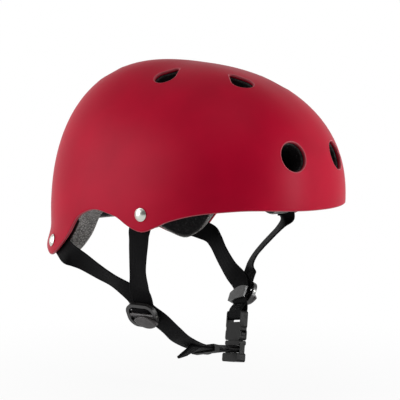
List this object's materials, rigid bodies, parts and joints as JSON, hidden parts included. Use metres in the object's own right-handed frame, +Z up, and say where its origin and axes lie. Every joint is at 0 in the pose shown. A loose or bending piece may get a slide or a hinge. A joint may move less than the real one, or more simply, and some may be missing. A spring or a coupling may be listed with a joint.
{
  "type": "skate helmet",
  "caption": "Open-face skate helmet: vented hard shell over a foam liner with fit pads, riveted webbing harness, cam dividers and a side-release chin buckle",
  "frame": {"origin": "the middle of the head opening at the height of the shell's widest line", "axes": "+Z up, the wearer faces -Y, the wearer's left is +X"},
  "size_m": [0.2144, 0.2627, 0.2783],
  "materials": {
    "shell_plastic": "moulded ABS with a soft matte skin, crimson",
    "foam": "expanded polystyrene beads, dark grey",
    "pad_fabric": "brushed knit over soft foam, black",
    "hook_tape": "hook tape, black",
    "nickel": "polished nickel plate",
    "webbing": "woven ribbed nylon, black",
    "fitting_plastic": "moulded acetal, black with a fine grain",
    "keeper_rubber": "soft rubber, black"
  },
  "bodies": {
    "helmet": {"shell": "shell_plastic", "liner": "foam", "brow_pad": "pad_fabric", "crown_pad": "pad_fabric", "nape_pad": "pad_fabric", "side_pad_left": "pad_fabric", "side_pad_right": "pad_fabric", "hook_patches": "hook_tape", "side_rivet_left": "nickel", "side_rivet_right": "nickel", "rear_rivet_left": "nickel", "rear_rivet_right": "nickel", "rivet_washers": "nickel", "front_strap_left": "webbing", "front_strap_right": "webbing", "rear_strap_left": "webbing", "rear_strap_right": "webbing", "divider_frame_left": "fitting_plastic", "divider_frame_right": "fitting_plastic", "lever_pin_left": "nickel", "lever_pin_right": "nickel", "buckle_socket": "fitting_plastic"},
    "lever_left": {"divider_lever_left": "fitting_plastic"},
    "lever_right": {"divider_lever_right": "fitting_plastic"},
    "tongue": {"buckle_tongue": "fitting_plastic", "adjuster_strap": "webbing"},
    "arm_front": {"buckle_arm_front": "fitting_plastic"},
    "arm_rear": {"buckle_arm_rear": "fitting_plastic"},
    "keeper": {"strap_keeper": "keeper_rubber"}
  },
  "joints": [
    {"name": "buckle_release", "type": "slide", "parent": "helmet", "child": "tongue", "axis": [-0.2401, -0.1001, -0.9656], "range_m": [0, 0.022], "deforming": ["buckle_arm_front", "buckle_arm_rear"]},
    {"name": "arm_front_squeeze", "type": "hinge", "parent": "tongue", "child": "arm_front", "pos_m": [0.04881, -0.01663, -0.12856], "axis": [-0.9127, 0.3621, 0.1895], "range_deg": [0, 17], "stiffness_Nm_per_rad": 0.5},
    {"name": "arm_rear_squeeze", "type": "hinge", "parent": "tongue", "child": "arm_rear", "pos_m": [0.05443, -0.00087, -0.13159], "axis": [0.9127, -0.3621, -0.1895], "range_deg": [0, 17], "stiffness_Nm_per_rad": 0.5},
    {"name": "lever_left_open", "type": "hinge", "parent": "helmet", "child": "lever_left", "pos_m": [0.07248, -0.00457, -0.08743], "axis": [-0.2574, -0.9181, 0.3014], "range_deg": [0, 80]},
    {"name": "lever_right_open", "type": "hinge", "parent": "helmet", "child": "lever_right", "pos_m": [-0.07461, -0.00638, -0.08652], "axis": [-0.1114, 0.9938, -0.0005], "range_deg": [0, 80]},
    {"name": "keeper_slide", "type": "slide", "parent": "tongue", "child": "keeper", "axis": [0.9454, 0.1692, -0.2786], "range_m": [0, 0.008]}
  ]
}
